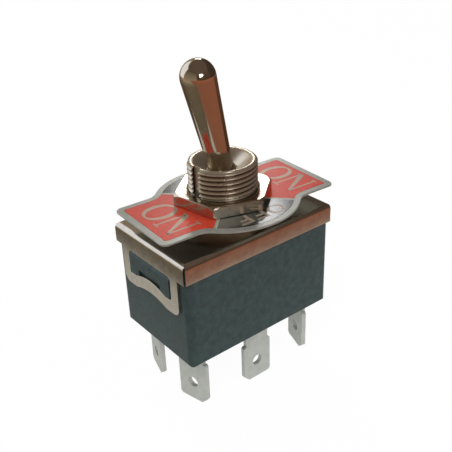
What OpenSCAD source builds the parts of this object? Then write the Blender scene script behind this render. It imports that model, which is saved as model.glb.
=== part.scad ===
// Panel toggle switch: two poles, on-off-on, in a moulded case with six tabs.
// Frame: the origin is on the bush axis in the cover's top face, +Z points up
// the bush and +X runs along the case. The lever swings in the XZ plane and
// rests tilted towards -X.

/* [Case] */
// Length of the sheet cover
cover_l = 31.2; // [29:0.1:36]
// Width of the sheet cover
cover_w = 19.6; // [18.8:0.1:22]
// Thickness of the cover sheet
sheet_t = 0.4; // [0.4:0.05:0.8]
// Outer radius of the cover's bends
bend_r = 1; // [0.9:0.05:1.5]
// Depth of the cover's skirt below its top face
skirt_h = 3.4; // [2.6:0.1:3.6]
// Width of the slit at each corner of the cover
slit_w = 0.35; // [0.2:0.05:0.6]
// Gap between the case's ends and the cover
end_gap = 0.05; // [0.05:0.05:0.5]
// Gap between the case's sides and the cover
side_gap = 0.05; // [0.05:0.05:0.3]
// Depth of the case's underside below the cover's top face
case_depth = 19.2; // [18.6:0.1:24]
// How far the case's long faces stand out past the skirt above them
face_step = -0.05; // [-0.4:0.05:0.2]
// Radius of the case's upright corners
corner_r = 1.3; // [0.5:0.1:1.6]
// Radius of the case's bottom edges
bottom_r = 0.4; // [0.2:0.1:0.8]
// Thickness of the case's side walls
side_wall = 1.4; // [0.8:0.1:1.5]
// Thickness of the case's end walls
end_wall = 2.6; // [1.5:0.1:2.8]
// Thickness of the case's floor
floor_t = 2.1; // [1.5:0.1:2.3]
// Thickness of the wall between the two poles
partition_t = 1; // [0.6:0.1:1.4]
// Thickness of the fibre sheet under the cover
insulator_t = 0.3; // [0.2:0.05:0.5]

/* [End loops] */
// Width of the loop that hangs from each end of the cover
loop_w = 15.5; // [14:0.1:16]
// Depth of the loop's lower edge below the cover's top face
loop_depth = 10.1; // [9.6:0.1:11]
// Width of the strip along the loop's foot
loop_foot = 2.25; // [1.8:0.05:2.6]
// Width of the loop's window
window_w = 11.6; // [10:0.1:12]
// Depth of the window's upper edge below the cover's top face
window_top = 3.65; // [3.65:0.05:4]
// Rise of the staked arch in the middle of the loop's foot
arch_rise = 0.8; // [0.3:0.1:1]
// Length of the staked arch
arch_l = 8.6; // [6:0.1:9.5]
// Radius of the loop's outer corners
loop_r = 1.5; // [0.6:0.1:2]
// Gap round the lug in the loop's window
lug_gap = 0.2; // [0.1:0.05:0.4]
// How far the lug stands out of the loop
lug_proud = 0.15; // [0:0.05:0.4]
// Width of the notch in the lug's underside
notch_w = 6; // [4:0.1:8]
// Height of that notch above the lug's foot
notch_h = 1.45; // [1:0.05:1.8]

/* [Bush] */
// Outer radius of the threaded bush
bush_r = 5.8; // [5.6:0.05:6.4]
// Height of the bush above the cover
bush_h = 9.75; // [9.4:0.05:12]
// Width of the keyway down the bush
key_w = 1.8; // [1:0.1:2.4]
// Depth of the keyway
key_d = 0.8; // [0.4:0.1:1]
// Radius of the bush's mouth at its rim
mouth_r = 4.8; // [3.6:0.1:5]
// Radius of the spigot that passes through the cover
spigot_r = 5.2; // [4.9:0.1:5.6]
// How far the swaged rim spreads past the spigot
swage_w = 1; // [0.5:0.1:1.3]
// Thickness of the swaged rim under the cover
swage_t = 0.5; // [0.3:0.1:0.6]

/* [Nuts and label] */
// Width of the hex nuts across their flats
nut_af = 14.8; // [13.6:0.1:16]
// Thickness of each hex nut
nut_h = 2; // [1.6:0.1:2.6]
// Turn of the back nut
back_turn = 20; // [-30:1:30]
// Turn of the front nut
nut_turn = 40; // [-30:0.5:60]
// Outer radius of the toothed lock washer
washer_r = 8; // [7.8:0.1:9]
// Thickness of the lock washer
washer_t = 0.65; // [0.4:0.05:0.8]
// Number of teeth on the lock washer
washer_teeth = 12; // [8:1:16]
// Length of the label plate
label_l = 34; // [30:0.1:38]
// Width of the label plate's wings
wing_w = 15.2; // [12:0.1:16]
// Radius of the label plate's round middle
label_r = 12.2; // [11.5:0.1:14]
// Thickness of the label plate
label_t = 0.35; // [0.3:0.05:0.8]
// Turn of the label plate on the bush
label_turn = -3.3; // [-5:0.1:5]
// Offset of the label plate's middle from its hole, along the case and across it
label_shift = [0.4, -0.4]; // [-0.8:0.1:0.8]
// Radius of the wings' corners
wing_r = 1.2; // [0.5:0.1:2.5]
// Radius of the blend between the wings and the round middle
blend_r = 3; // [1:0.1:6]
// Width of the bare metal border round the enamel
border = 1.15; // [0.6:0.05:2]
// Width of the bare metal line between the enamel fields
divider = 0.6; // [0.2:0.05:1]
// Angle of the lines that divide the enamel fields
divider_angle = 45; // [35:1:50]
// Depth of the enamel in the label plate
enamel_t = 0.15; // [0.1:0.05:0.2]

/* [Lever] */
// Tilt of the lever at each end of its swing
lever_tilt = 13; // [10:0.5:13.5]
// Height of the lever's pivot above the cover's top face
pivot_z = 7; // [6.8:0.1:7.3]
// Distance from the pivot to the centre of the lever's end ball
lever_l = 17.5; // [14:0.1:24]
// Radius of the lever's end ball
tip_r = 2.8; // [2.4:0.05:3.6]
// Radius of the lever where it leaves its pivot ball
neck_r = 2; // [1.6:0.05:2]
// Radius of the pivot ball
ball_r = 2.6; // [2.5:0.05:2.7]
// Radius of the lever's tail
tail_r = 1.7; // [1.3:0.05:1.75]
// Radius of the cross pin in the pivot ball
pin_r = 0.75; // [0.5:0.05:0.9]
// How far the cross pin stands out of the ball at each side
pin_out = 1; // [0.6:0.1:1.2]

/* [Carrier and plungers] */
// Distance from the pivot to the carrier's top
carrier_top = 9.6; // [9.6:0.1:10]
// Distance from the pivot to the carrier's foot
carrier_foot = 15.4; // [15:0.1:15.8]
// Radius of the carrier's middle boss
boss_r = 2.9; // [2.6:0.1:3]
// Distance from the pivot to the plungers' tips
plunger_reach = 18.4; // [18.3:0.05:18.6]
// Radius of each plunger
plunger_r = 1.5; // [1.2:0.05:1.6]
// Length of each plunger
plunger_l = 5.6; // [5:0.1:5.8]
// Travel of each plunger into the carrier
plunger_travel = 0.8; // [0.4:0.1:1]
// Wall of the carrier round each plunger
plunger_wall = 0.95; // [0.6:0.05:1.1]
// Radius of the well in each plunger
well_r = 1.08; // [1:0.02:1.1]
// Depth of that well
well_d = 3; // [2:0.1:3.4]
// Radius of the spring wire
wire_r = 0.14; // [0.1:0.01:0.18]
// Turns of each plunger spring
spring_turns = 8; // [5:1:10]

/* [Contacts and tabs] */
// Tilt of the rockers at each end of their swing
rocker_tilt = 8; // [6:0.5:9]
// Depth of the rockers' pivot below the cover's top face
rocker_depth = 12.6; // [12.5:0.05:12.7]
// Thickness of the rockers' strip
rocker_t = 0.9; // [0.7:0.05:1]
// Width of the rockers
rocker_w = 4.2; // [3.4:0.1:4.6]
// Radius of the rockers' trunnions
trunnion_r = 0.8; // [0.6:0.05:0.9]
// Distance from the rockers' pivot to their contacts
contact_x = 8.9; // [8.5:0.1:9.1]
// Radius of the contacts
contact_r = 1.3; // [1:0.1:1.5]
// Height of the moving contacts under the rocker
contact_h = 0.7; // [0.5:0.05:0.8]
// Height of the fixed contacts on their feet
rivet_h = 0.6; // [0.4:0.05:0.8]
// Thickness of the tabs' sheet
tab_t = 0.8; // [0.6:0.05:0.9]
// Width of the tabs' blades
blade_w = 5.9; // [5.4:0.05:6.5]
// Width of the tabs' necks
neck_w = 4.8; // [4.2:0.1:5.3]
// Depth of the throw tabs' tips below the case
tab_l = 10.4; // [9:0.1:13]
// How much deeper the common tabs reach
common_more = 0.4; // [0:0.05:1]
// Radius of the holes in the tabs
tab_hole_r = 1; // [0.6:0.05:1.2]
// Distance from the tips to the middle of the holes
hole_up = 3.6; // [2.4:0.1:4.5]
// Length of the neck below the case on the throw tabs
throw_neck = 2.2; // [1.5:0.1:3]
// Length of the neck below the case on the common tabs
common_neck = 3.4; // [1.5:0.1:4]
// Turn of the four throw tabs' blades: front left, front right, back left, back right
blade_turns = [13, -19, -17, 10]; // [-20:1:20]

/* [Hidden] */
$fn = 64;

// Named clearances
seat_gap = 0.02;      // between pieces that are pressed or screwed together
ledge_gap = 0.1;      // between the skirt's foot and the case's ledge
run_gap = 0.06;       // round a pin or ball that turns
slide_gap = 0.08;     // round a plunger that slides
sweep_gap = 0.4;      // below and beside what swings
tilt_gap = 0.15;      // round the tilted lever
contact_gap = 0.04;   // between closed contacts
slot_gap = 0.05;      // round a tab's neck in the floor
eps = 0.01;           // overlap of the solids that are joined or cut

// Heights down through the case
cover_in_z = -sheet_t;
case_top_z = cover_in_z - insulator_t;
case_foot_z = -case_depth;
floor_z = case_foot_z + floor_t;
tab_foot_z = case_foot_z - tab_l;
rocker_z = -rocker_depth;

// Outside and inside of the case
case_l = cover_l - 2 * (sheet_t + end_gap);
case_w = cover_w - 2 * (sheet_t + side_gap);
body_w = cover_w + 2 * face_step;
cavity_l = case_l - 2 * end_wall;
cavity_w = case_w - 2 * side_wall;

// Radius of the staked arch
arch_bow = (arch_l * arch_l / 4 + arch_rise * arch_rise) / (2 * arch_rise);

// Radius of the bush where the nuts' threads hold it
thread_bite = 0.3;
core_r = bush_r - thread_bite;

// Heights up the bush
washer_z = nut_h;
label_z = washer_z + washer_t;
front_nut_z = label_z + label_t;

// The sheet tabs stand against the inside of the case's walls
common_y = cavity_w / 2 - slot_gap - tab_t / 2;
inner_cheek_y = partition_t / 2 + slot_gap + 0.45 + tab_t / 2;
pole_y = (common_y + inner_cheek_y) / 2;
throw_x = cavity_l / 2 - slot_gap - 0.1 - tab_t / 2;
throw_y = cavity_w / 2 - slot_gap - 0.05 - neck_w / 2;

// Path of a plunger tip's centre, seen from the rocker as the lever swings.
// a is the swing of the lever's tail towards +X, from 0 to lever_tilt.
tip_arm = plunger_reach - plunger_r;
function rocker_angle(a) = rocker_tilt * a / lever_tilt;
function tip_world(a) = [tip_arm * sin(a), pivot_z - tip_arm * cos(a) - rocker_z];
function to_rocker(p, r) = [p[0] * cos(r) - p[1] * sin(r), p[0] * sin(r) + p[1] * cos(r)];
function tip_path(a) = to_rocker(tip_world(a), rocker_angle(a));
function path_slope(a) =
    let (p = tip_path(a - 0.05), q = tip_path(a + 0.05))
    atan2(q[1] - p[1], q[0] - p[0]);
// Point of the rocker that lies d below the path at swing a
function below_path(a, d) = tip_path(a) + d * [sin(path_slope(a)), -cos(path_slope(a))];
crown_gap = plunger_r + run_gap;
path_steps = 8;
valley = [for (i = [0:path_steps]) below_path(i * lever_tilt / path_steps, crown_gap)];
valley_foot = [for (i = [0:path_steps])
    below_path(i * lever_tilt / path_steps, crown_gap + rocker_t)];
arm_top = valley[path_steps][1];
arm_end = contact_x + contact_r + 0.1;

// The moving contact's domed face and the fixed contact that it meets
dome_r = 2.5;
moving_face = arm_top - rocker_t - contact_h;
dome_centre = to_rocker([contact_x, moving_face + dome_r], -rocker_tilt);
function tilted(p, r) = [p[0] * cos(r) + p[1] * sin(r), -p[0] * sin(r) + p[1] * cos(r)];
dome_world = tilted([contact_x, moving_face + dome_r], rocker_tilt);
fixed_x = dome_world[0];
fixed_top_z = rocker_z + dome_world[1] - dome_r - contact_gap;
foot_top_z = fixed_top_z - rivet_h;
foot_in_x = fixed_x - contact_r - 0.35;

// Inner radius of the fold in the throw tabs
fold_r = 0.3;

// Lowest point that the carrier sweeps, and the walls that stay below it
carrier_low_z = pivot_z - carrier_foot * cos(lever_tilt) - boss_r * sin(lever_tilt);
partition_top_z = carrier_low_z - sweep_gap;
cheek_top_z = rocker_z + trunnion_r + 0.5;

module mirrored(v) {
    children();
    mirror(v) children();
}

// Rectangle with round corners, as a flat shape
module round_rect(l, w, r) {
    square([l - 2 * r, w], center = true);
    square([l, w - 2 * r], center = true);
    for (x = [-1, 1], y = [-1, 1])
        translate([x * (l / 2 - r), y * (w / 2 - r)]) circle(r);
}

// Rectangle from z0 up to z1 whose top corners, or foot corners, are round
module arched_rect(w, z0, z1, r, up) {
    h = z1 - z0;
    translate([-w / 2, up ? z0 : z0 + r]) square([w, h - r]);
    translate([-w / 2 + r, z0]) square([w - 2 * r, h]);
    for (x = [-1, 1])
        translate([x * (w / 2 - r), up ? z1 - r : z0 + r]) circle(r);
}

// Extrudes a flat XZ shape along Y, and a flat YZ shape along X
module along_y(w) {
    translate([0, w / 2, 0]) rotate([90, 0, 0]) linear_extrude(w) children();
}
module along_x(l) {
    translate([-l / 2, 0, 0]) rotate([90, 0, 90]) linear_extrude(l) children();
}

// ---- Case -------------------------------------------------------------

module housing() {
    color("#26302f") {
        difference() {
            union() {
                case_block(case_w, case_top_z);
                case_block(body_w, -skirt_h - ledge_gap);
                mirrored([1, 0, 0]) end_lug();
            }
            difference() {
                translate([-cavity_l / 2, -cavity_w / 2, floor_z])
                    cube([cavity_l, cavity_w, case_top_z - floor_z + 1]);
                // wall between the two poles
                translate([-cavity_l, -partition_t / 2, floor_z - 1])
                    cube([2 * cavity_l, partition_t, partition_top_z - floor_z + 1]);
                // ledges that carry the throw tabs' feet
                mirrored([1, 0, 0])
                    translate([foot_in_x - 0.3, -cavity_w, floor_z - 1])
                        cube([cavity_l, 2 * cavity_w, foot_top_z - tab_t - floor_z + 1]);
            }
            // slots for the tabs' necks
            for (y = [-1, 1]) {
                translate([0, y * common_y, case_foot_z]) neck_slot(neck_w, tab_t);
                for (x = [-1, 1]) {
                    translate([x * throw_x, y * throw_y, case_foot_z])
                        neck_slot(tab_t, neck_w);
                    // relief for the bend of the tab's foot
                    translate([x * (throw_x - tab_t / 2), y * throw_y, foot_top_z - tab_t])
                        cube([2 * fold_r, neck_w + 2 * slot_gap, 2 * fold_r], center = true);
                }
            }
        }
    }
}

// Block from the case's foot up to z1 with its edges rounded
module case_block(w, z1) {
    intersection() {
        translate([0, 0, case_foot_z - 1])
            linear_extrude(z1 - case_foot_z + 1) round_rect(case_l, w, corner_r);
        along_y(w + 2) arched_rect(case_l, case_foot_z, z1, bottom_r, false);
        along_x(case_l + 2) arched_rect(w, case_foot_z, z1, bottom_r, false);
    }
}

module neck_slot(l, w) {
    h = foot_top_z - tab_t - case_foot_z + 2;
    translate([-l / 2 - slot_gap, -w / 2 - slot_gap, -1])
        cube([l + 2 * slot_gap, w + 2 * slot_gap, h]);
}

// Lug that fills the window of the cover's end loop
module end_lug() {
    lug_w = window_w - 2 * lug_gap;
    lug_z1 = -window_top - lug_gap;
    lug_z0 = -(loop_depth - loop_foot) + lug_gap;
    lug_x = cover_l / 2 + lug_proud;
    bevel = 0.3;
    difference() {
        translate([case_l / 2 - 1, 0, 0]) intersection() {
            rotate([90, 0, 90]) linear_extrude(lug_x - case_l / 2 + 1)
                translate([-lug_w / 2, lug_z0]) square([lug_w, lug_z1 - lug_z0]);
            // the lug's upper edge is bevelled, so that the loop slides over it
            translate([0, lug_w, 0]) rotate([90, 0, 0]) linear_extrude(2 * lug_w)
                polygon([
                    [0, lug_z0], [lug_x - case_l / 2 + 1, lug_z0],
                    [lug_x - case_l / 2 + 1, lug_z1 - bevel],
                    [lug_x - case_l / 2 + 1 - bevel, lug_z1], [0, lug_z1]]);
        }
        translate([case_l / 2, -notch_w / 2, lug_z0 - 1])
            cube([end_gap + sheet_t + 2, notch_w, notch_h + 1]);
        // the lug's feet follow the staked arch
        translate([case_l / 2 - eps, 0, loop_foot - loop_depth + arch_rise - arch_bow])
            rotate([0, 90, 0]) cylinder(h = sheet_t + 2, r = arch_bow + lug_gap, $fn = 128);
    }
}

module cover() {
    color("#b9a58c") {
        difference() {
            intersection() {
                along_y(cover_w)
                    arched_rect(cover_l, -skirt_h, 0, bend_r, true);
                along_x(cover_l)
                    arched_rect(cover_w, -skirt_h, 0, bend_r, true);
            }
            intersection() {
                along_y(cover_w)
                    arched_rect(cover_l - 2 * sheet_t, -skirt_h - 1, -sheet_t,
                        bend_r - sheet_t, true);
                along_x(cover_l)
                    arched_rect(cover_w - 2 * sheet_t, -skirt_h - 1, -sheet_t,
                        bend_r - sheet_t, true);
            }
            // slits between the folded flaps
            for (x = [-1, 1], y = [-1, 1])
                translate([x * cover_l / 2, y * cover_w / 2, -skirt_h - 1])
                    rotate([0, 0, x * y * 45]) translate([-1.5, -slit_w / 2, 0])
                        cube([3, slit_w, skirt_h + 0.65]);
            translate([0, 0, -sheet_t - 1])
                cylinder(h = sheet_t + 2, r = spigot_r + seat_gap);
        }
        mirrored([1, 0, 0])
            translate([cover_l / 2 - sheet_t, 0, 0])
                rotate([90, 0, 90]) linear_extrude(sheet_t) loop_outline();
    }
}

// Flat outline of an end loop: legs, foot with its staked arch, and window
module loop_outline() {
    foot_z = -loop_depth;
    window_z = foot_z + loop_foot;
    difference() {
        translate([0, -skirt_h + eps]) union() {
            translate([-loop_w / 2, 0]) mirror([0, 1])
                square([loop_w, loop_depth - skirt_h - loop_r]);
            translate([-loop_w / 2 + loop_r, 0]) mirror([0, 1])
                square([loop_w - 2 * loop_r, loop_depth - skirt_h]);
            for (x = [-1, 1])
                translate([x * (loop_w / 2 - loop_r), -(loop_depth - skirt_h - loop_r)])
                    circle(loop_r);
        }
        // hollow under the arch
        arch(foot_z, 1);
        // window, whose foot follows the arch
        difference() {
            translate([0, (window_z - window_top) / 2])
                round_rect(window_w, -window_top - window_z, 0.6);
            arch(window_z, 1);
        }
    }
}

// Round-topped segment that rises arch_rise above the level z
module arch(z, side) {
    intersection() {
        translate([0, z + arch_rise - arch_bow]) circle(arch_bow, $fn = 128);
        translate([-arch_l / 2, z - side]) square([arch_l, arch_rise + side + 1]);
    }
}

module insulator() {
    color("#7a5a3a")
        translate([0, 0, cover_in_z - insulator_t])
            linear_extrude(insulator_t)
                difference() {
                    round_rect(cover_l - 2 * bend_r - 2 * end_gap,
                        cover_w - 2 * bend_r - 2 * end_gap, corner_r);
                    circle(spigot_r + swage_w + 0.3);
                }
}

// ---- Bush, nuts and label ---------------------------------------------

module bushing() {
    seat_r = ball_r + run_gap;
    // the throat clears the tilted neck
    throat_r = 2.4;
    throat_z = pivot_z + sqrt(seat_r * seat_r - throat_r * throat_r);
    bell_z = pivot_z - 3;
    foot_z = -sheet_t - swage_t;
    bell_r = (pivot_z - foot_z) * tan(lever_tilt) + tail_r / cos(lever_tilt) + tilt_gap;
    chamfer = 0.5;
    color("#c2b08f")
        difference() {
            union() {
                cylinder(h = bush_h - chamfer, r = core_r);
                // the stretch that stands clear of the nuts
                translate([0, 0, front_nut_z + nut_h])
                    cylinder(h = bush_h - chamfer - front_nut_z - nut_h, r = bush_r);
                translate([0, 0, bush_h - chamfer])
                    cylinder(h = chamfer, r1 = bush_r, r2 = bush_r - chamfer);
                translate([0, 0, foot_z]) cylinder(h = -foot_z + eps, r = spigot_r);
                translate([0, 0, foot_z]) cylinder(h = swage_t, r = spigot_r + swage_w);
            }
            translate([0, 0, pivot_z]) sphere(seat_r);
            translate([0, 0, bell_z - eps]) cylinder(h = pivot_z - bell_z + eps, r = seat_r);
            translate([0, 0, foot_z - eps])
                cylinder(h = bell_z - foot_z + eps, r1 = bell_r, r2 = seat_r);
            translate([0, 0, throat_z])
                cylinder(h = bush_h - throat_z + eps, r1 = throat_r, r2 = mouth_r);
            // keyway
            translate([-bush_r - 1, -key_w / 2, -eps])
                cube([1 + key_d, key_w, bush_h + 1]);
            // grooves that hold the cross pin, open at the foot for assembly
            pin_reach = ball_r + pin_out + tilt_gap;
            translate([0, pin_reach, pivot_z]) rotate([90, 0, 0])
                cylinder(h = 2 * pin_reach, r = pin_r + run_gap);
            translate([-pin_r - run_gap, -pin_reach, foot_z - eps])
                cube([2 * (pin_r + run_gap), 2 * pin_reach, pivot_z - foot_z + eps]);
        }
}

module hex_nut() {
    corner = nut_af / 2 / cos(30);
    bevel = 0.35;
    intersection() {
        difference() {
            cylinder(h = nut_h, r = corner, $fn = 6);
            translate([0, 0, -1]) cylinder(h = nut_h + 2, r = core_r + seat_gap);
            // lead-in of the thread at each face
            translate([0, 0, nut_h - bevel + eps])
                cylinder(h = bevel, r1 = core_r + seat_gap, r2 = bush_r + bevel / 2);
        }
        // round bevels on the corners
        union() {
            cylinder(h = nut_h - bevel, r = corner);
            translate([0, 0, nut_h - bevel])
                cylinder(h = bevel, r1 = corner, r2 = corner - bevel / tan(30));
        }
    }
}

module back_nut() {
    color("#b5a283") rotate([0, 0, back_turn]) hex_nut();
}

module front_nut() {
    color("#c8b696") translate([0, 0, front_nut_z]) rotate([0, 0, nut_turn]) hex_nut();
}

module lock_washer() {
    ring_w = 1.2;
    tooth_r = bush_r + 0.15;
    color("#a9a9a4")
        translate([0, 0, washer_z])
            linear_extrude(washer_t) {
                difference() {
                    circle(washer_r);
                    circle(washer_r - ring_w);
                }
                for (i = [0:washer_teeth - 1])
                    rotate([0, 0, i * 360 / washer_teeth])
                        polygon([[tooth_r, -0.35], [washer_r - ring_w / 2, -0.75],
                            [washer_r - ring_w / 2, 0.75], [tooth_r, 0.35]]);
            }
}

// Flat outline of the label plate, drawn in by the distance d
module label_outline(d) {
    w = wing_w / 2 - d;
    r = label_r - d;
    blend = blend_r + d;
    blend_y = wing_w / 2 + blend_r;
    blend_x = sqrt(pow(label_r + blend_r, 2) - blend_y * blend_y);
    circle(r, $fn = 96);
    round_rect(label_l - 2 * d, 2 * w, max(wing_r - d, 0.4));
    mirrored([1, 0, 0]) mirrored([0, 1, 0])
        difference() {
            polygon([[0, 0], [blend_x, 0], [blend_x, w],
                [blend_x * r / (label_r + blend_r), blend_y * r / (label_r + blend_r)]]);
            translate([blend_x, blend_y]) circle(blend);
        }
}

// Wedge between the dividing lines, towards +X and -X
module red_sector(d) {
    far = label_l;
    polygon([[d / sin(divider_angle), 0], [far, (far - d / sin(divider_angle)) * tan(divider_angle)],
        [far, -(far - d / sin(divider_angle)) * tan(divider_angle)]]);
}

module red_shape() {
    intersection() {
        label_outline(border);
        mirrored([1, 0, 0]) red_sector(divider / 2);
    }
}

module black_shape() {
    difference() {
        intersection() {
            label_outline(border);
            circle(label_r - border, $fn = 96);
        }
        mirrored([1, 0, 0]) red_sector(-divider / 2);
    }
}

hole_rim = bush_r + 0.6;

// Places the plate's outline, turned and a little off its hole
module on_plate() {
    translate(label_shift) rotate([0, 0, label_turn]) children();
}

module enamel(z_over) {
    translate([0, 0, front_nut_z - enamel_t])
        linear_extrude(enamel_t + z_over)
            difference() {
                on_plate() children();
                circle(hole_rim);
            }
}

module label_plate() {
    color("#9a9c98")
        difference() {
            translate([0, 0, label_z])
                linear_extrude(label_t)
                    difference() {
                        on_plate() label_outline(0);
                        label_hole();
                    }
            enamel(1) red_shape();
            enamel(1) black_shape();
        }
}

// Hole with the key that keeps the plate from turning far on the bush
module label_hole() {
    key = key_w - 1;
    difference() {
        circle(bush_r + 0.1);
        translate([-bush_r - 0.2, -key / 2]) square([key_d - 0.05, key]);
    }
}

module red_enamel() {
    color("#c2361f") enamel(0) red_shape();
}

module black_enamel() {
    color("#1c211f") enamel(0) black_shape();
}

// ---- Lever ------------------------------------------------------------

// Places what is drawn along -Z and +Z from the pivot on the tilted lever
module on_lever() {
    translate([0, 0, pivot_z]) rotate([0, -lever_tilt, 0]) children();
}

module lever() {
    shank_foot = 1.5;
    taper = asin((tip_r - neck_r) / (lever_l - shank_foot));
    color("#c4a27d")
        on_lever()
            difference() {
                union() {
                    translate([0, 0, lever_l]) sphere(tip_r);
                    translate([0, 0, shank_foot])
                        cylinder(h = lever_l - tip_r * sin(taper) - shank_foot,
                            r1 = neck_r, r2 = tip_r * cos(taper));
                    sphere(ball_r);
                    translate([0, 0, -carrier_foot + 1])
                        cylinder(h = carrier_foot - 1, r = tail_r);
                }
                rotate([90, 0, 0])
                    cylinder(h = 3 * ball_r, r = pin_r + seat_gap, center = true);
            }
}

module pivot_pin() {
    color("#8f9294")
        on_lever() rotate([90, 0, 0])
            cylinder(h = 2 * (ball_r + pin_out), r = pin_r, center = true);
}

module carrier() {
    well_top = plunger_reach - plunger_l - plunger_travel - 0.8;
    socket = plunger_r + plunger_wall;
    web_w = 2.6;
    color("#e8e4d6")
        on_lever()
            difference() {
                translate([0, 0, -carrier_foot])
                    linear_extrude(carrier_foot - carrier_top) {
                        circle(boss_r);
                        square([web_w, 2 * pole_y], center = true);
                        for (y = [-1, 1]) translate([0, y * pole_y]) circle(socket);
                    }
                // seat of the lever's tail
                translate([0, 0, -carrier_foot + 1 - seat_gap])
                    cylinder(h = carrier_foot, r = tail_r + seat_gap);
                // wells of the two plungers
                for (y = [-1, 1])
                    translate([0, y * pole_y, -carrier_foot - 1])
                        cylinder(h = carrier_foot - well_top + 1, r = plunger_r + slide_gap);
            }
}

module plunger(y) {
    color("#d9d4c2")
        on_lever() translate([0, y * pole_y, -plunger_reach])
            difference() {
                union() {
                    translate([0, 0, plunger_r]) sphere(plunger_r);
                    translate([0, 0, plunger_r])
                        cylinder(h = plunger_l - plunger_r, r = plunger_r);
                }
                translate([0, 0, plunger_l - well_d]) cylinder(h = well_d + 1, r = well_r);
            }
}

// Coil spring between the plunger's well and the top of the carrier's well
module plunger_spring(y) {
    coil_r = well_r - wire_r - slide_gap / 2;
    z0 = -plunger_reach + plunger_l - well_d + wire_r + eps;
    z1 = -(plunger_reach - plunger_l - plunger_travel - 0.8) - wire_r - eps;
    sides = 6;
    per_turn = 16;
    rings = spring_turns * per_turn;
    ring_points = [for (i = [0:rings], j = [0:sides - 1])
        let (a = i * 360 / per_turn, b = j * 360 / sides,
            r = coil_r + wire_r * cos(b))
        [r * cos(a), r * sin(a), z0 + (z1 - z0) * i / rings + wire_r * sin(b)]];
    walls = [for (i = [0:rings - 1], j = [0:sides - 1])
        let (k = (j + 1) % sides)
        [i * sides + j, i * sides + k, (i + 1) * sides + k, (i + 1) * sides + j]];
    caps = [[for (j = [0:sides - 1]) sides - 1 - j], [for (j = [0:sides - 1]) rings * sides + j]];
    color("#b8bcc0")
        on_lever() translate([0, y * pole_y, 0])
            polyhedron(points = ring_points, faces = concat(walls, caps), convexity = 8);
}

// ---- Rockers ----------------------------------------------------------

// Places a rocker drawn level on its pivot at its rest tilt
module on_rocker(y) {
    translate([0, y * pole_y, rocker_z]) rotate([0, rocker_tilt, 0]) children();
}

module rocker(y) {
    span = common_y - inner_cheek_y + tab_t;
    crown = concat(
        [for (i = [path_steps:-1:1]) [-valley[i][0], valley[i][1]]], valley);
    foot = concat(
        [for (i = [path_steps:-1:0]) valley_foot[i]],
        [for (i = [1:path_steps]) [-valley_foot[i][0], valley_foot[i][1]]]);
    end_low = arm_top - rocker_t;
    color("#b98b45")
        on_rocker(y) {
            difference() {
                along_y(rocker_w)
                    polygon(concat([[-arm_end, arm_top]], crown,
                        [[arm_end, arm_top], [arm_end, end_low]], [[valley_foot[path_steps][0] + 0.1, end_low]],
                        foot, [[-valley_foot[path_steps][0] - 0.1, end_low], [-arm_end, end_low]]));
                // holes for the rivets of the moving contacts
                for (x = [-1, 1])
                    translate([x * contact_x, 0, end_low - 1])
                        cylinder(h = rocker_t + 2, r = contact_r / 2 + seat_gap);
            }
            rotate([90, 0, 0]) cylinder(h = span, r = trunnion_r, center = true);
        }
}

module rocker_contacts(y) {
    end_low = arm_top - rocker_t;
    color("#d8d8d4")
        on_rocker(y)
            for (x = [-1, 1])
                translate([x * contact_x, 0, 0]) {
                    intersection() {
                        translate([0, 0, moving_face]) cylinder(h = contact_h, r = contact_r);
                        translate([0, 0, moving_face + dome_r]) sphere(dome_r);
                    }
                    translate([0, 0, end_low - eps])
                        cylinder(h = rocker_t + eps, r = contact_r / 2);
                }
}

// ---- Tabs and fixed contacts ------------------------------------------

// Flat outline of a blade, point down from the level 0: shoulders, bevelled foot
module blade_outline(length, neck) {
    w = blade_w / 2;
    long_bevel = 1.1;
    short_bevel = 0.45;
    shoulder = 0.25;
    polygon([
        [-neck_w / 2, -neck + 0.2], [neck_w / 2, -neck + 0.2], [neck_w / 2, -neck],
        [w - shoulder, -neck], [w, -neck - shoulder],
        [w, -length + long_bevel], [w - long_bevel, -length],
        [-w + short_bevel, -length], [-w, -length + short_bevel],
        [-w, -neck - shoulder], [-w + shoulder, -neck], [-neck_w / 2, -neck]]);
}

module blade(neck, length) {
    translate([0, tab_t / 2, 0]) rotate([90, 0, 0])
        linear_extrude(tab_t)
            difference() {
                blade_outline(length, neck);
                translate([0, -length + hole_up]) circle(tab_hole_r);
            }
}

// Neck that turns by the given angle on its way down to the shoulders. Its
// ends reach a little into the leg above it and the blade below it.
module twisted_neck(drop, turn) {
    levels = 6;
    half_t = tab_t / 2 - 0.004;
    half_w = neck_w / 2 - 0.004;
    corners = [[-half_t, -half_w], [half_t, -half_w], [half_t, half_w], [-half_t, half_w]];
    rows = [for (i = [0:levels], c = corners)
        let (t = max(0, min(1, (i - 0.5) / (levels - 1))),
            a = turn * (i == 0 ? 0 : i == levels ? 1 : (3 * t * t - 2 * t * t * t)),
            z = i == 0 ? 0.12 : i == levels ? -drop - 0.12 : -drop * t)
        [c[0] * cos(a) - c[1] * sin(a), c[0] * sin(a) + c[1] * cos(a), z]];
    sides = [for (i = [0:levels - 1], j = [0:3], half = [0, 1])
        let (k = (j + 1) % 4, u = 4 * i, v = 4 * i + 4)
        half == 0 ? [u + j, u + k, v + j] : [u + k, v + k, v + j]];
    last = 4 * levels;
    polyhedron(points = rows, faces = concat(sides,
        [[3, 2, 1, 0], [last, last + 1, last + 2, last + 3]]), convexity = 4);
}

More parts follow.
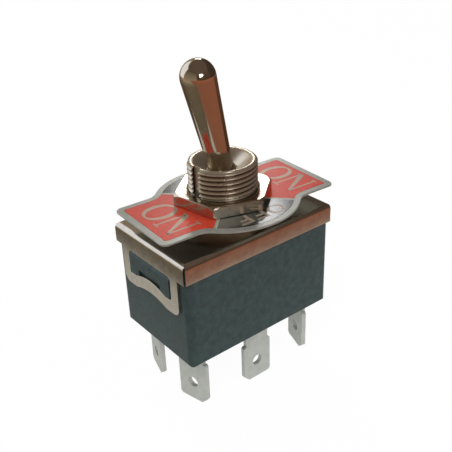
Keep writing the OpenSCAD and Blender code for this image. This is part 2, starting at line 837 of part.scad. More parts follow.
// Throw tab: a foot that carries the fixed contact, a leg down through the
// floor, a twisted neck that locks it there, and the blade
module throw_tab(x, y, turn) {
    leg_h = foot_top_z - case_foot_z;
    foot_l = throw_x + tab_t / 2 - foot_in_x;
    out_r = tab_t + fold_r;
    color("#bfc0bb")
        translate([x * throw_x, y * throw_y, 0]) {
            difference() {
                mirror([x < 0 ? 1 : 0, 0, 0])
                    translate([tab_t / 2, 0, foot_top_z])
                        along_y(neck_w)
                            difference() {
                                union() {
                                    translate([-out_r, -out_r]) circle(out_r);
                                    translate([-foot_l, -tab_t])
                                        square([foot_l - out_r, tab_t]);
                                    translate([-tab_t, -leg_h])
                                        square([tab_t, leg_h - out_r]);
                                }
                                translate([-out_r, -out_r]) circle(out_r - tab_t);
                                translate([-foot_l - 1, -leg_h - 1])
                                    square([foot_l + 1 - out_r, leg_h + 1 - tab_t]);
                                translate([-out_r - 1, -leg_h - 1])
                                    square([out_r + 1 - tab_t, leg_h + 1 - out_r]);
                            }
                // hole for the fixed contact's rivet
                translate([x * (fixed_x - throw_x), y * (pole_y - throw_y), foot_top_z - tab_t - 1])
                    cylinder(h = tab_t + 2, r = contact_r / 2 + seat_gap);
            }
            translate([0, 0, case_foot_z]) {
                twisted_neck(throw_neck, turn);
                rotate([0, 0, turn + 90]) mirror([1, 0, 0]) blade(throw_neck, tab_l);
            }
        }
}

// Common tab: a sheet cradle whose two cheeks hold the rocker's trunnions,
// with the outer cheek running on down through the floor as the blade
module common_tab(y) {
    cheek_l = 8.4;
    base_y = common_y - inner_cheek_y + tab_t;
    relief = 0.3;
    color("#c4c5bf")
        mirror([0, y > 0 ? 0 : 1, 0]) {
            for (cheek_y = [common_y, inner_cheek_y])
                translate([0, cheek_y, 0]) cheek(cheek_l);
            difference() {
                translate([-cheek_l / 2, common_y + tab_t / 2 - base_y, floor_z])
                    cube([cheek_l, base_y, tab_t]);
                // relief at each side of the neck
                for (x = [-1, 1])
                    translate([x * (neck_w / 2 + relief / 2) - relief / 2,
                        common_y - tab_t / 2 - 1, floor_z - 1])
                        cube([relief, tab_t + 2, tab_t + 2]);
            }
            translate([-neck_w / 2, common_y - tab_t / 2, case_foot_z - common_neck])
                cube([neck_w, tab_t, floor_z - case_foot_z + common_neck + tab_t]);
            translate([0, common_y, case_foot_z]) mirror([1, 0, 0]) blade(common_neck, tab_l + common_more);
        }
}

// Upright cheek with an open notch for the trunnion
module cheek(l) {
    notch_r = trunnion_r + run_gap;
    top_l = 4;
    translate([0, tab_t / 2, 0]) rotate([90, 0, 0])
        linear_extrude(tab_t)
            difference() {
                polygon([[-l / 2, floor_z], [l / 2, floor_z], [l / 2, floor_z + 2],
                    [top_l / 2, cheek_top_z], [-top_l / 2, cheek_top_z],
                    [-l / 2, floor_z + 2]]);
                translate([0, rocker_z]) circle(notch_r);
                translate([-notch_r, rocker_z]) square([2 * notch_r, 5]);
            }
}

module fixed_contacts() {
    color("#d8d8d4")
        for (x = [-1, 1], y = [-1, 1])
            translate([x * fixed_x, y * pole_y, 0]) {
                translate([0, 0, foot_top_z]) cylinder(h = rivet_h, r = contact_r);
                translate([0, 0, foot_top_z - tab_t]) cylinder(h = tab_t + eps, r = contact_r / 2);
            }
}

housing();
cover();
insulator();
bushing();
back_nut();
lock_washer();
label_plate();
red_enamel();
black_enamel();
front_nut();
lever();
pivot_pin();
carrier();
plunger(-1);  // plunger_front
plunger(1);  // plunger_back
plunger_spring(-1);  // spring_front
plunger_spring(1);  // spring_back
rocker(-1);  // rocker_front
rocker(1);  // rocker_back
rocker_contacts(-1);  // rocker_contacts_front
rocker_contacts(1);  // rocker_contacts_back
common_tab(-1);  // common_tab_front
common_tab(1);  // common_tab_back
throw_tab(-1, -1, blade_turns[0]);  // throw_tab_front_left
throw_tab(1, -1, blade_turns[1]);  // throw_tab_front_right
throw_tab(-1, 1, blade_turns[2]);  // throw_tab_back_left
throw_tab(1, 1, blade_turns[3]);  // throw_tab_back_right
fixed_contacts();
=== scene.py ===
import math

import bpy
import bmesh
from mathutils import Matrix, Vector


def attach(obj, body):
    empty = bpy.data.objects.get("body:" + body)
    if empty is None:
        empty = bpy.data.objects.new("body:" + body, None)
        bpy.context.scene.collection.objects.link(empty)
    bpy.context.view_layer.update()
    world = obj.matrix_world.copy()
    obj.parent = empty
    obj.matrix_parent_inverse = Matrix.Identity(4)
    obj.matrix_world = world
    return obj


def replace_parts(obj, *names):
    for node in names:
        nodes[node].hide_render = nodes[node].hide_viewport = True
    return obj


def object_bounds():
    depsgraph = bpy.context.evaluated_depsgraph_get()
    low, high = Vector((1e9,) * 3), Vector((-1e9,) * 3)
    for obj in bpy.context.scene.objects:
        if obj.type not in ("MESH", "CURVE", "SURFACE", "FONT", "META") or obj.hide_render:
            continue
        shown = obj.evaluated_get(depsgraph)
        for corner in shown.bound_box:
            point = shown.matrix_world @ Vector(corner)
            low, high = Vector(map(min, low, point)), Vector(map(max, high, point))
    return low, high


MM = 0.001
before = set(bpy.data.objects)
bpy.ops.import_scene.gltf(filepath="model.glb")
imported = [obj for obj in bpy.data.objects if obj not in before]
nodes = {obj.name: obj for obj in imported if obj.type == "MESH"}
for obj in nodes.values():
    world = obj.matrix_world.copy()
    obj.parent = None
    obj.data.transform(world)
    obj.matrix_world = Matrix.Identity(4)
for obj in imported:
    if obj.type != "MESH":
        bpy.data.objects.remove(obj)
cad_low, cad_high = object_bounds()
scene = bpy.context.scene
scene.view_settings.view_transform = "Standard"


def rgb(hex_code):
    """A colour as it is written on the screen, turned into a linear one."""
    out = []
    for i in (0, 2, 4):
        c = int(hex_code[i:i + 2], 16) / 255
        out.append(c / 12.92 if c <= 0.04045 else ((c + 0.055) / 1.055) ** 2.4)
    return (*out, 1.0)


# ---- Camera -------------------------------------------------------------
# It stands to the front left and above, as the photographer's did. The roll
# and the small offsets across the view put the switch where the photo has it.
AZIMUTH, ELEVATION, ROLL = math.radians(-37.922), math.radians(28.477), math.radians(-2.194)
DISTANCE, ACROSS, UPWARD = 120.064 * MM, 0.212 * MM, -2.314 * MM
back = Vector((math.sin(AZIMUTH) * math.cos(ELEVATION),
               -math.cos(AZIMUTH) * math.cos(ELEVATION), math.sin(ELEVATION)))
right = (-back).cross(Vector((0, 0, 1))).normalized()
up = right.cross(-back)
position = back * DISTANCE + right * ACROSS + up * UPWARD
cam_x = right * math.cos(ROLL) + up * math.sin(ROLL)
cam_y = up * math.cos(ROLL) - right * math.sin(ROLL)
camera_data = bpy.data.cameras.new("camera")
camera_data.sensor_width = 36
camera_data.lens = 57.09
camera_data.clip_start = 0.005
camera_data.clip_end = 20
camera = bpy.data.objects.new("camera", camera_data)
camera.matrix_world = Matrix((
    (cam_x.x, cam_y.x, back.x, position.x),
    (cam_x.y, cam_y.y, back.y, position.y),
    (cam_x.z, cam_y.z, back.z, position.z),
    (0, 0, 0, 1)))
scene.collection.objects.link(camera)
scene.camera = camera


# ---- Materials ----------------------------------------------------------
class Shader:
    """A material's node tree, with short names for what it needs most."""

    def __init__(self, name):
        self.material = bpy.data.materials.new(name)
        self.material.use_nodes = True
        self.tree = self.material.node_tree
        self.bsdf = self.tree.nodes["Principled BSDF"]
        self.coords = self.node("ShaderNodeTexCoord").outputs["Object"]

    def node(self, kind, **settings):
        made = self.tree.nodes.new(kind)
        for key, value in settings.items():
            setattr(made, key, value)
        return made

    def link(self, a, b):
        self.tree.links.new(a, b)

    def noise(self, scale, detail=3.0, roughness=0.5):
        """Noise whose grains are about 1/scale mm across."""
        texture = self.node("ShaderNodeTexNoise")
        texture.inputs["Scale"].default_value = scale * 1000
        texture.inputs["Detail"].default_value = detail
        texture.inputs["Roughness"].default_value = roughness
        self.link(self.coords, texture.inputs["Vector"])
        return texture.outputs["Fac"]

    def reach(self, low, high):
        """0..1 as the distance from the bush's axis goes from low to high, in mm."""
        flat = self.node("ShaderNodeVectorMath", operation="MULTIPLY")
        flat.inputs[1].default_value = (1, 1, 0)
        self.link(self.coords, flat.inputs[0])
        length = self.node("ShaderNodeVectorMath", operation="LENGTH")
        self.link(flat.outputs["Vector"], length.inputs[0])
        made = self.node("ShaderNodeMapRange")
        made.inputs["From Min"].default_value = low * MM
        made.inputs["From Max"].default_value = high * MM
        self.link(length.outputs["Value"], made.inputs["Value"])
        return made.outputs["Result"]

    def ramp(self, value, stops):
        made = self.node("ShaderNodeValToRGB")
        elements = made.color_ramp.elements
        elements[0].position, elements[0].color = stops[0]
        elements[1].position, elements[1].color = stops[-1]
        for position, colour in stops[1:-1]:
            elements.new(position).color = colour
        self.link(value, made.inputs["Fac"])
        return made.outputs["Color"]

    def mix(self, factor, a, b, blend="MIX"):
        made = self.node("ShaderNodeMix", data_type="RGBA", blend_type=blend)
        for socket, value in ((made.inputs[0], factor), (made.inputs[6], a), (made.inputs[7], b)):
            if isinstance(value, (tuple, float)):
                socket.default_value = value
            else:
                self.link(value, socket)
        return made.outputs[2]

    def spread(self, value, low, high):
        """Maps 0..1 to low..high."""
        made = self.node("ShaderNodeMapRange")
        made.inputs["To Min"].default_value = low
        made.inputs["To Max"].default_value = high
        self.link(value, made.inputs["Value"])
        return made.outputs["Result"]

    def bump(self, height, strength, distance):
        made = self.node("ShaderNodeBump")
        made.inputs["Strength"].default_value = strength
        made.inputs["Distance"].default_value = distance * MM
        self.link(height, made.inputs["Height"])
        self.link(made.outputs["Normal"], self.bsdf.inputs["Normal"])
        return made

    def colour(self, value):
        socket = self.bsdf.inputs["Base Color"]
        if isinstance(value, tuple):
            socket.default_value = value
        else:
            self.link(value, socket)

    def rough(self, value):
        socket = self.bsdf.inputs["Roughness"]
        if isinstance(value, float):
            socket.default_value = value
        else:
            self.link(value, socket)

    def set(self, **values):
        for key, value in values.items():
            self.bsdf.inputs[key.replace("_", " ")].default_value = value


def plated(name, light, dark, low, high, grain=0.9, dent=0.004, metal=1.0, root_shade_radii=None):
    """Bright plate over a turned or bent metal: faint clouding and polish marks.
    root_shade_radii are the radii in mm between which a thread goes from a painted shade in its
    roots to bright."""
    s = Shader(name)
    s.set(Metallic=metal)
    shade = s.mix(s.noise(grain, 4.0, 0.55), rgb(dark), rgb(light))
    # painted shade: the thread's roots are mixed towards dark brown 3a2c20 by their distance from
    # the axis
    if root_shade_radii:
        shade = s.mix(s.reach(*root_shade_radii), rgb("3a2c20"), shade)
    s.colour(shade)
    s.rough(s.spread(s.noise(grain * 3, 3.0, 0.6), low, high))
    s.bump(s.noise(grain * 1.3, 2.0, 0.4), 0.5, dent)
    return s.material


MAT = {}
MAT["cover"] = plated("nickel_cover", "cfc8bc", "aca394", 0.10, 0.24, grain=0.5, dent=0.006)
MAT["bush"] = plated("nickel_bush", "d2c8b6", "b4a893", 0.24, 0.38, grain=0.8, metal=0.9)
# the thread gets a painted shade in its roots, darkest below 5.34 mm from the axis
MAT["thread"] = plated("nickel_thread", "dacfbc", "bcb09b", 0.22, 0.36, grain=0.8, metal=0.9,
                       root_shade_radii=(5.34, 5.66))
MAT["nut"] = plated("nickel_nut", "cdc3b2", "aea28f", 0.14, 0.28, grain=0.8)
MAT["lever"] = plated("nickel_lever", "cdc3b2", "b4a894", 0.06, 0.15, grain=0.35)
MAT["washer"] = plated("zinc_washer", "b5b6b4", "8f908e", 0.25, 0.4)
MAT["label_metal"] = plated("label_metal", "a9aaa3", "8a8b84", 0.28, 0.45, metal=0.6)
MAT["letter_metal"] = plated("letter_metal", "b3a392", "968879", 0.35, 0.5, grain=1.2, metal=0.6)
MAT["tab"] = plated("tab_plate", "cfd1cc", "b4b7b2", 0.38, 0.55, grain=0.7, dent=0.006, metal=0.6)
MAT["pin"] = plated("pin_steel", "a5a7a9", "85888a", 0.2, 0.35)
MAT["rocker"] = plated("rocker_brass", "d0a55e", "a88142", 0.2, 0.35)
MAT["silver"] = plated("contact_silver", "ecebe6", "d0cfca", 0.2, 0.35)
MAT["spring"] = plated("spring_steel", "b5b8bb", "8b8f92", 0.2, 0.35)


def moulded(name, light, dark, low, high, grain, dent):
    """Moulded or painted surface: mottled colour, satin sheen and a fine skin."""
    s = Shader(name)
    mottle = s.noise(grain, 5.0, 0.65)
    s.colour(s.ramp(mottle, [(0.32, rgb(dark)), (0.68, rgb(light))]))
    s.rough(s.spread(s.noise(grain * 2.2, 3.0, 0.6), low, high))
    s.bump(s.noise(grain * 4, 3.0, 0.6), 0.6, dent)
    return s.material


MAT["housing"] = moulded("phenolic", "2a3f3f", "1a2c2d", 0.36, 0.55, 0.9, 0.012)
MAT["fibre"] = moulded("fibre", "8a6846", "6a4c30", 0.6, 0.8, 1.2, 0.01)
MAT["nylon"] = moulded("nylon", "ece8da", "d8d3c2", 0.4, 0.55, 0.6, 0.004)
MAT["red"] = moulded("red_enamel", "c0371e", "a22a17", 0.32, 0.46, 1.6, 0.004)
MAT["black"] = moulded("black_enamel", "232b28", "121815", 0.12, 0.22, 1.6, 0.004)

LOOK = {
    "housing": "housing", "cover": "cover", "insulator": "fibre", "bushing": "bush",
    "back_nut": "nut", "front_nut": "nut", "lock_washer": "washer",
    "label_plate": "label_metal", "red_enamel": "red", "black_enamel": "black",
    "lever": "lever", "pivot_pin": "pin", "carrier": "nylon",
    "plunger_front": "nylon", "plunger_back": "nylon",
    "spring_front": "spring", "spring_back": "spring",
    "rocker_front": "rocker", "rocker_back": "rocker",
    "rocker_contacts_front": "silver", "rocker_contacts_back": "silver",
    "fixed_contacts": "silver",
}
for name, node in nodes.items():
    look = MAT[LOOK.get(name, "tab")]
    node.data.materials.clear()
    node.data.materials.append(look)


# ---- Sizes that the dressing repeats from the part's source, in mm ---------
BUSH_R, BUSH_H, PIVOT_Z = 5.8, 9.75, 7.0
KEY_W, KEY_D = 1.8, 0.8
KEY_FLOOR = -BUSH_R + KEY_D
CORE_R, NUT_TOP, CHAMFER = 5.5, 5.0, 0.5
THROAT_R, SEAT_R, BELL_R, BELL_Z = 2.4, 2.66, 3.69, 4.0
FOOT_R, FOOT_Z, FOOT_T, SPIGOT_R = 6.2, -0.9, 0.5, 5.2
LABEL_TOP, LABEL_TURN, LABEL_SHIFT = 3.0, math.radians(-3.3), (0.4, -0.4)

# ---- Sizes of the dressing's own, in mm ----------------------------------------
PITCH, THREAD_D, THREAD_INNER, PLAIN_LIP = 25.4 / 32, 0.42, 5.2, 0.3
# radius and depth below the lip of the bush's dished mouth
MOUTH = [(4.98, 0.02), (4.75, 0.10), (4.4, 0.27), (3.9, 0.58),
         (3.4, 0.93), (2.95, 1.28), (2.6, 1.55), (2.42, 1.72)]


def mesh_piece(name, points, faces, look, body, smooth=True, sharp=None):
    """A mesh piece in millimetres, in the row frame, that rides on a body."""
    mesh = bpy.data.meshes.new(name)
    mesh.from_pydata([(x * MM, y * MM, z * MM) for x, y, z in points], [], faces)
    mesh.validate()
    mesh.update()
    made = bpy.data.objects.new(name, mesh)
    scene.collection.objects.link(made)
    mesh.materials.append(MAT[look])
    bm = bmesh.new()
    bm.from_mesh(mesh)
    bmesh.ops.remove_doubles(bm, verts=bm.verts, dist=1e-7)
    bmesh.ops.recalc_face_normals(bm, faces=bm.faces)
    for face in bm.faces:
        face.smooth = smooth
    if sharp:
        for edge in bm.edges:
            if len(edge.link_faces) == 2 and edge.calc_face_angle() > math.radians(sharp):
                edge.smooth = False
    bm.to_mesh(mesh)
    bm.free()
    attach(made, body)
    return made


# ---- Threaded bush ----------------------------------------------------------
def thread_radius(z, turn):
    """Radius of the threaded skin at height z, where turn is 0..1 round the bush."""
    phase = (z / PITCH - turn) % 1.0
    groove = 0.5 - 0.5 * math.cos(2 * math.pi * phase)
    r = BUSH_R - 0.02 - THREAD_D * groove
    # the thread runs out over a rounded lip, and is gone under the nuts
    t = max(0.0, (z - BUSH_H + CHAMFER) / CHAMFER)
    lip = BUSH_R - 0.02 - CHAMFER * (1 - math.sqrt(max(0.0, 1 - t * t)))
    return min(r, lip, CORE_R if z < NUT_TOP else BUSH_R)


def inner_profile():
    """Rings (r, z) from the lip down the dished mouth, round the ball's seat,
    through the bell below it and out round the foot."""
    rings = [(r, BUSH_H - drop) for r, drop in MOUTH]
    start = math.asin(THROAT_R / SEAT_R)
    for k in range(7):
        t = start + k * (math.pi / 2 - start) / 6
        rings.append((SEAT_R * math.sin(t), PIVOT_Z + SEAT_R * math.cos(t)))
    return rings + [(SEAT_R, BELL_Z), (BELL_R, FOOT_Z), (FOOT_R, FOOT_Z),
                    (FOOT_R, FOOT_Z + FOOT_T), (SPIGOT_R, FOOT_Z + FOOT_T), (SPIGOT_R, 0.0)]


def threaded_bush():
    """The bush with its real thread, in place of the source's plain one."""
    half = math.asin((KEY_W / 2) / BUSH_R)
    around, rows = 180, 156
    points, faces = [], []

    def add(x, y, z):
        points.append((x, y, z))
        return len(points) - 1

    # the threaded skin, open at the keyway, and the keyway's two inner corners
    angles = [-math.pi + half + (2 * math.pi - 2 * half) * i / around
              for i in range(around + 1)]
    grid, walls = [], [[], []]
    for k in range(rows + 1):
        z = BUSH_H * k / rows
        row = []
        for i, a in enumerate(angles):
            r = thread_radius(z, a / (2 * math.pi))
            if i in (0, around):
                y = -KEY_W / 2 if i == 0 else KEY_W / 2
                row.append(add(-math.sqrt(r * r - y * y), y, z))
            else:
                row.append(add(r * math.cos(a), r * math.sin(a), z))
        grid.append(row)
        walls[0].append(add(KEY_FLOOR, -KEY_W / 2, z))
        walls[1].append(add(KEY_FLOOR, KEY_W / 2, z))
    for k in range(rows):
        low, high = grid[k], grid[k + 1]
        for i in range(around):
            faces.append((low[i], low[i + 1], high[i + 1], high[i]))
        faces.append((walls[0][k], low[0], high[0], walls[0][k + 1]))
        faces.append((low[around], walls[1][k], walls[1][k + 1], high[around]))
        faces.append((walls[1][k], walls[0][k], walls[0][k + 1], walls[1][k + 1]))

    # the rings inside, each joined to the one before, the first to the skin's rim
    previous = grid[rows]
    for r, z in inner_profile():
        line = [add(r * math.cos(a), r * math.sin(a), z) for a in angles]
        for i in range(around):
            faces.append((previous[i], previous[i + 1], line[i + 1], line[i]))
        if previous is grid[rows]:
            faces.append((walls[1][rows], walls[0][rows], line[0], line[around]))
            faces.append((previous[0], line[0], walls[0][rows]))
            faces.append((previous[around], walls[1][rows], line[around]))
        else:
            faces.append((previous[around], previous[0], line[0], line[around]))
        previous = line
    base = grid[0]
    for i in range(around):
        faces.append((previous[i], previous[i + 1], base[i + 1], base[i]))
    faces.append((previous[around], previous[0], walls[0][0], walls[1][0]))
    faces.append((previous[0], base[0], walls[0][0]))
    faces.append((previous[around], walls[1][0], base[around]))

    made = mesh_piece("threaded_bush", points, faces, "bush", "case", sharp=50)
    made.data.materials.append(MAT["thread"])
    for face in made.data.polygons:
        x, y, z = face.center / MM
        upright = abs(face.normal.z) < 0.95
        outside = math.hypot(x, y) > THREAD_INNER
        face.material_index = int(upright and outside and NUT_TOP < z < BUSH_H - PLAIN_LIP)
    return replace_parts(made, "bushing")


threaded_bush()


# ---- Broken edges -------------------------------------------------------------
def broken_edges(name, width):
    """A frame piece again, with a narrow flat along each of its hard edges."""
    node = nodes[name]
    mesh = node.data.copy()
    made = bpy.data.objects.new(name + "_broken_edges", mesh)
    made.matrix_world = node.matrix_world.copy()
    scene.collection.objects.link(made)
    bm = bmesh.new()
    bm.from_mesh(mesh)
    bmesh.ops.remove_doubles(bm, verts=bm.verts, dist=1e-7)
    bmesh.ops.dissolve_limit(bm, angle_limit=math.radians(1), verts=bm.verts, edges=bm.edges)

    def angle(edge):
        return math.degrees(edge.calc_face_angle()) if len(edge.link_faces) == 2 else 0.0

    hard = [edge for edge in bm.edges if angle(edge) > 35]
    bmesh.ops.bevel(bm, geom=hard, offset=width * MM, offset_type="OFFSET", segments=1,
                    affect="EDGES", clamp_overlap=True)
    for face in bm.faces:
        face.smooth = True
    for edge in bm.edges:
        edge.smooth = len(edge.link_faces) == 2 and angle(edge) < 20
    bm.to_mesh(mesh)
    bm.free()
    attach(made, "case")
    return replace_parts(made, name)


broken_edges("front_nut", 0.13)
broken_edges("label_plate", 0.07)
broken_edges("cover", 0.07)


# ---- Lettering on the label ---------------------------------------------------
LETTER_FOOT, LETTER_TOP = LABEL_TOP - 0.03, LABEL_TOP + 0.012


def prism(name, outlines, transform):
    """Raised letter strokes. Each outline is a closed ring, or a pair of rings with
    as many points, the second being the hole."""
    points, faces = [], []
    for outline in outlines:
        rings = outline if isinstance(outline[0][0], tuple) else (outline,)
        n = len(rings[0])
        first = len(points)
        for z in (LETTER_FOOT, LETTER_TOP):
            for ring in rings:
                points += [(*transform(x, y), z) for x, y in ring]
        if len(rings) == 1:
            faces.append(tuple(first + n + i for i in range(n)))
            for i in range(n):
                j = (i + 1) % n
                faces.append((first + i, first + j, first + n + j, first + n + i))
        else:
            for i in range(n):
                j = (i + 1) % n
                top = first + 2 * n
                faces.append((top + i, top + j, top + n + j, top + n + i))
                faces.append((first + i, first + j, top + j, top + i))
                faces.append((first + n + j, first + n + i, top + n + i, top + n + j))
    made = mesh_piece(name, points, faces, "letter_metal", "case", smooth=False)
    return made


def oval(cx, cy, rx, ry, n=56, power=2.0):
    out = []
    for i in range(n):
        a = 2 * math.pi * i / n
        c, s = math.cos(a), math.sin(a)
        out.append((cx + rx * math.copysign(abs(c) ** (2 / power), c),
                    cy + ry * math.copysign(abs(s) ** (2 / power), s)))
    return out


def bar(x0, y0, x1, y1):
    return [(x0, y0), (x1, y0), (x1, y1), (x0, y1)]


def serif_o(x, w, h):
    """Round letter with thick sides and thin top and foot; x is its left side."""
    thick, thin = 0.17 * w, 0.07 * h
    return [(oval(x + w / 2, h / 2, w / 2, h / 2, power=2.15),
             oval(x + w / 2, h / 2, w / 2 - thick, h / 2 - thin, power=2.0))]


def serif_n(x, w, h):
    """Roman N: thin uprights, a broad diagonal and flat serifs."""
    thin, wide, foot = 0.075 * w, 0.2 * w, 0.045 * h
    left, far = x + 0.13 * w, x + 0.87 * w
    return [
        bar(left - thin / 2, foot, left + thin / 2, h - foot),
        bar(far - thin / 2, 0, far + thin / 2, h - foot),
        [(left - 0.13 * w, h), (left - 0.13 * w, h - foot), (left - 0.04 * w, h - foot),
         (far - thin / 2 - 0.02 * w, 0), (far + thin / 2, 0),
         (left + wide - 0.04 * w, h)],
        bar(left - 0.13 * w, 0, left + 0.15 * w, foot),
        bar(far - 0.15 * w, h - foot, far + 0.13 * w, h),
    ]


def plain_f(x, w, h):
    thick = 0.24 * w
    return [bar(x, 0, x + thick, h), bar(x + thick, h - 0.16 * h, x + w, h),
            bar(x + thick, 0.44 * h, x + 0.8 * w, 0.6 * h)]


def on_plate(x, y):
    c, s = math.cos(LABEL_TURN), math.sin(LABEL_TURN)
    return (x * c - y * s + LABEL_SHIFT[0], x * s + y * c + LABEL_SHIFT[1])


def place(origin, along, upward):
    """Puts letter coordinates on the plate: along is the reading direction."""
    def go(u, v):
        return on_plate(origin[0] + along[0] * u + upward[0] * v,
                        origin[1] + along[1] * u + upward[1] * v)
    return go


ON_H, ON_W, ON_START, ON_GAP = 5.9, 4.85, 4.6, 0.35
for side, foot in (("left", -14.6), ("right", 9.2)):
    on = place((foot, ON_START), (0, -1), (1, 0))
    prism("on_o_" + side, serif_o(0, ON_W, ON_H), on)
    prism("on_n_" + side, serif_n(ON_W + ON_GAP, ON_W, ON_H), on)
OFF_H, O_W, F_W, OFF_GAP = 2.6, 3.0, 2.4, 0.6
off = place((4.9, -7.3), (-1, 0), (0, -1))
prism("off_o", serif_o(0, O_W, OFF_H), off)
prism("off_f_first", plain_f(O_W + OFF_GAP, F_W, OFF_H), off)
prism("off_f_last", plain_f(O_W + F_W + 2 * OFF_GAP, F_W, OFF_H), off)


# ---- Floor, background and light ---------------------------------------
def glow_material(name, shades, along, strength):
    """A glow whose shades run evenly from one edge of a card to the other."""
    m = bpy.data.materials.new(name)
    m.use_nodes = True
    tree = m.node_tree
    tree.nodes.clear()
    out = tree.nodes.new("ShaderNodeOutputMaterial")
    glow = tree.nodes.new("ShaderNodeEmission")
    glow.inputs["Strength"].default_value = strength
    coords = tree.nodes.new("ShaderNodeTexCoord")
    axes = tree.nodes.new("ShaderNodeSeparateXYZ")
    ramp = tree.nodes.new("ShaderNodeValToRGB")
    elements = ramp.color_ramp.elements
    elements[0].color, elements[1].color = rgb(shades[0]), rgb(shades[-1])
    for i, shade in enumerate(shades[1:-1], 1):
        elements.new(i / (len(shades) - 1)).color = rgb(shade)
    tree.links.new(coords.outputs["Generated"], axes.inputs[0])
    tree.links.new(axes.outputs[along], ramp.inputs["Fac"])
    tree.links.new(ramp.outputs["Color"], glow.inputs["Color"])
    tree.links.new(glow.outputs[0], out.inputs["Surface"])
    return m


def card(name, centre, facing, width, height, shades, along="X", strength=1.0):
    """A studio card or soft box that only shows in the metal's reflections."""
    mesh = bpy.data.meshes.new(name)
    w, h = width * MM / 2, height * MM / 2
    mesh.from_pydata([(-w, -h, 0), (w, -h, 0), (w, h, 0), (-w, h, 0)], [], [(0, 1, 2, 3)])
    made = bpy.data.objects.new(name, mesh)
    made.location = Vector(centre) * MM
    made.rotation_mode = "QUATERNION"
    made.rotation_quaternion = Vector(facing).to_track_quat("Z", "Y")
    mesh.materials.append(glow_material(name, shades, along, strength))
    scene.collection.objects.link(made)
    made.visible_camera = False
    made.visible_diffuse = False
    made.visible_shadow = False
    made.visible_transmission = False
    return made


def shown_ray(tree):
    """1 for the rays that show the background: camera, glossy and transmission."""
    path = tree.nodes.new("ShaderNodeLightPath")
    total = path.outputs["Is Camera Ray"]
    for other in ("Is Glossy Ray", "Is Transmission Ray"):
        either = tree.nodes.new("ShaderNodeMath")
        either.operation = "MAXIMUM"
        tree.links.new(total, either.inputs[0])
        tree.links.new(path.outputs[other], either.inputs[1])
        total = either.outputs[0]
    return total


def white_world():
    """White where it is seen, and a plain soft sky for the light it gives."""
    world = bpy.data.worlds.new("world")
    scene.world = world
    world.use_nodes = True
    tree = world.node_tree
    tree.nodes.clear()
    pick = tree.nodes.new("ShaderNodeMixShader")
    out = tree.nodes.new("ShaderNodeOutputWorld")
    tree.links.new(shown_ray(tree), pick.inputs[0])
    for socket, colour, strength in ((1, (0.93, 0.96, 1.0, 1), 0.42), (2, (1, 1, 1, 1), 1.0)):
        sky = tree.nodes.new("ShaderNodeBackground")
        sky.inputs["Color"].default_value = colour
        sky.inputs["Strength"].default_value = strength
        tree.links.new(sky.outputs[0], pick.inputs[socket])
    tree.links.new(pick.outputs[0], out.inputs["Surface"])


def paper_material(shown_share=0.97):
    """Paper that is nearly white where it is seen, and still takes a faint shadow."""
    paper = bpy.data.materials.new("paper")
    paper.use_nodes = True
    tree = paper.node_tree
    tree.nodes.clear()
    out = tree.nodes.new("ShaderNodeOutputMaterial")
    diffuse = tree.nodes.new("ShaderNodeBsdfDiffuse")
    diffuse.inputs["Color"].default_value = (0.9, 0.9, 0.9, 1)
    glow = tree.nodes.new("ShaderNodeEmission")
    glow.inputs["Strength"].default_value = 1.0
    both = tree.nodes.new("ShaderNodeMixShader")
    share = tree.nodes.new("ShaderNodeMath")
    share.operation = "MULTIPLY"
    share.inputs[1].default_value = shown_share
    tree.links.new(shown_ray(tree), share.inputs[0])
    tree.links.new(share.outputs[0], both.inputs[0])
    tree.links.new(diffuse.outputs[0], both.inputs[1])
    tree.links.new(glow.outputs[0], both.inputs[2])
    tree.links.new(both.outputs[0], out.inputs["Surface"])
    return paper


def paper_floor(half=4.0):
    """The floor, a hair below the tabs' tips; half its width is in metres."""
    mesh = bpy.data.meshes.new("floor")
    mesh.from_pydata([(-half, -half, floor_z), (half, -half, floor_z),
                      (half, half, floor_z), (-half, half, floor_z)], [], [(0, 1, 2, 3)])
    mesh.materials.append(paper_material())
    floor = bpy.data.objects.new("floor", mesh)
    scene.collection.objects.link(floor)


white_world()
floor_z = cad_low.z - 0.05 * MM
paper_floor()


def lamp(name, position, size, watts, colour=(1, 1, 1)):
    data = bpy.data.lights.new(name, "AREA")
    data.shape = "RECTANGLE"
    data.size, data.size_y = size[0] * MM, size[1] * MM
    data.energy = watts
    data.color = colour
    made = bpy.data.objects.new(name, data)
    made.location = Vector(position) * MM
    made.rotation_mode = "QUATERNION"
    made.rotation_quaternion = made.location.to_track_quat("Z", "Y")
    scene.collection.objects.link(made)
    made.visible_glossy = False
    return made


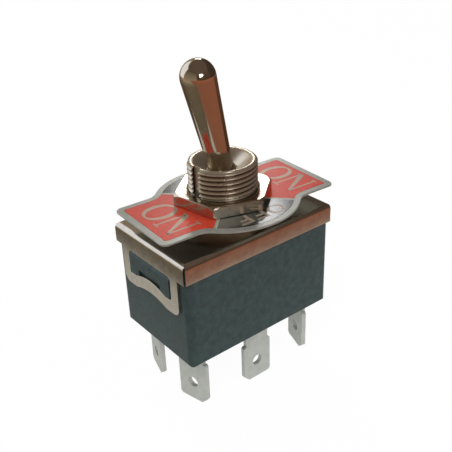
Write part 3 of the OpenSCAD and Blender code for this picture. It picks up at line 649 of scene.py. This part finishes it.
lamp("key", (-260, -240, 420), (260, 260), 1.9, (1.0, 0.99, 0.97))
lamp("fill", (320, -360, 160), (300, 240), 0.9, (0.97, 0.98, 1.0))
lamp("rim", (120, 420, 320), (300, 200), 0.9, (1.0, 1.0, 1.0))

# What the plating shows: the sheet of paper under the switch, the table past
# its edges, a dim room, a window at the back left and two small lamps
PAPER_X, PAPER_Y, ROOM, CEILING = (-37.5, 70), (-43, 60), 400, 430
TABLE = floor_z / MM + 0.2
UP = (0, 0, 1)


def flat(name, x, y, shades, along="X"):
    """A card that lies on the table from x[0] to x[1] and from y[0] to y[1]."""
    centre = ((x[0] + x[1]) / 2, (y[0] + y[1]) / 2, TABLE)
    return card(name, centre, UP, x[1] - x[0], y[1] - y[0], shades, along)


# the paper card is light grey, a painted shade for the paper in the switch's shadow as the
# plating reflects it
flat("paper", PAPER_X, PAPER_Y, ["cfcfca"])
flat("table_front", (-ROOM, ROOM), (-ROOM, PAPER_Y[0]),
     ["9c6a56", "b0705a", "bb7a60", "c4896e"], "Y")
flat("table_left", (-ROOM, PAPER_X[0]), (PAPER_Y[0], ROOM),
     ["6a6254", "b0a58f", "b8aa94", "c0967c"])
flat("table_right", (PAPER_X[1], ROOM), (PAPER_Y[0], ROOM), ["a8735a", "6e4a36", "4a3628"])
flat("table_back", PAPER_X, (PAPER_Y[1], ROOM), ["a08a78", "5c4a3c"], "Y")
middle = (TABLE + CEILING) / 2
for name, way, shades, along in (
        ("front", (0, 1, 0), ["5a4636", "6e5f56"], "Y"),
        ("back", (0, -1, 0), ["d8cfc0", "d8cfc0", "cdc2b0", "968975", "5a4c3e"], "X"),
        ("left", (1, 0, 0), ["a89d88", "5e5349"], "Y"),
        ("right", (-1, 0, 0), ["4a3f35", "54493f"], "Y")):
    card("wall_" + name, (-way[0] * ROOM, -way[1] * ROOM, middle), way,
         2 * ROOM, CEILING - TABLE, shades, along)
card("ceiling", (0, 0, CEILING), (0, 0, -1), 2 * ROOM, 2 * ROOM, ["6e5f56"])
card("window", (-120, 330, 160), (120, -330, -100), 400, 360, ["eef3ff"], strength=1.5)
card("lamp_front", (-100, -380, 175), (100, 380, -175), 150, 110, ["ffffff"], strength=8)
card("lamp_back", (176, 221, 158), (-176, -221, -158), 66, 50, ["ffffff"], strength=9)
